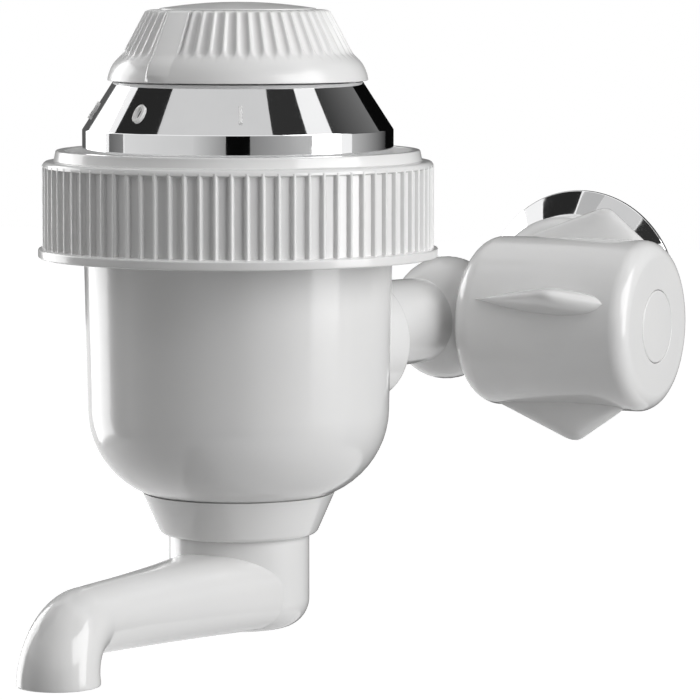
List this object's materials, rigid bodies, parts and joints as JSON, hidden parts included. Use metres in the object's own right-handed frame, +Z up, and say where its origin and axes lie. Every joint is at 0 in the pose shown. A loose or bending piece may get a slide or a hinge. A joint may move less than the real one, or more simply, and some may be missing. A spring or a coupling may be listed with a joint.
{
  "type": "electric tap",
  "caption": "Wall tap with a winged valve handle, an instantaneous water heater set by a top selector knob, and a swivel spout under it.",
  "frame": {"origin": "on the inlet's axis, in the plane of the wall against which the flange bears", "axes": "+Y into the wall along the inlet's axis, +Z up, +X to the right of someone who faces the tap"},
  "size_m": [0.1427, 0.3057, 0.1748],
  "materials": {
    "white_plastic": "gloss",
    "chrome": "polished",
    "brass": "turned",
    "rubber": "matt",
    "steel": "drawn",
    "inner_plastic": "matt"
  },
  "bodies": {
    "tap": {"arm_pin": "steel", "arm_seals": "rubber", "bezel": "chrome", "block_screws": "steel", "bonnet": "brass", "bonnet_seal": "rubber", "cable_grommet": "rubber", "chamber_seal": "rubber", "coil_support": "inner_plastic", "contact_block": "inner_plastic", "diaphragm": "rubber", "element_plate": "inner_plastic", "fixed_contacts": "brass", "gland_nut": "brass", "heater_cup": "white_plastic", "hot_coil": "steel", "inlet_nipple": "brass", "inlet_strainer": "steel", "return_spring": "steel", "ring_nut": "white_plastic", "spout_collar": "white_plastic", "stem_seal": "rubber", "terminal_block": "inner_plastic", "terminal_posts": "brass", "top_cover": "white_plastic", "valve_body": "white_plastic", "valve_seat": "brass", "wall_flange": "chrome", "warm_coil": "steel"},
    "selector": {"selector_knob": "white_plastic", "knob_cap": "white_plastic", "knob_screw": "steel", "selector_shaft": "inner_plastic", "shaft_clip": "steel", "selector_cam": "inner_plastic", "cam_contact": "brass"},
    "spout": {"spout": "white_plastic", "spout_seals": "rubber", "spout_clip": "steel", "outlet_insert": "inner_plastic"},
    "handle": {"handle": "white_plastic", "handle_cap": "white_plastic", "handle_screw": "steel", "valve_stem": "brass"},
    "washer": {"washer_carrier": "brass", "valve_washer": "rubber"},
    "pressure_plate": {"pressure_plate": "inner_plastic", "contact_bridges": "brass"}
  },
  "joints": [
    {"name": "selector_turn", "type": "hinge", "parent": "tap", "child": "selector", "pos_m": [-0.02047, -0.18467, 0.08], "axis": [0, 0, 1], "range_deg": [-43, 43]},
    {"name": "spout_swivel", "type": "hinge", "parent": "tap", "child": "spout", "pos_m": [-0.02047, -0.18467, -0.06], "axis": [0, 0, 1], "continuous": true},
    {"name": "handle_turn", "type": "hinge", "parent": "tap", "child": "handle", "pos_m": [0.04, -0.096, 0], "axis": [1, 0, 0], "range_deg": [0, 540]},
    {"name": "washer_travel", "type": "slide", "parent": "tap", "child": "washer", "axis": [1, 0, 0], "range_m": [0, 0.0045]},
    {"name": "pressure_lift", "type": "slide", "parent": "tap", "child": "pressure_plate", "axis": [0, 0, 1], "range_m": [0, 0.0025], "stiffness_N_per_m": 800, "springref_m": -0.004, "deforming": ["return_spring"]}
  ],
  "couplings": [
    {"joint": "washer_travel", "follows": "handle_turn", "m_per_rad": 0.00047746}
  ]
}
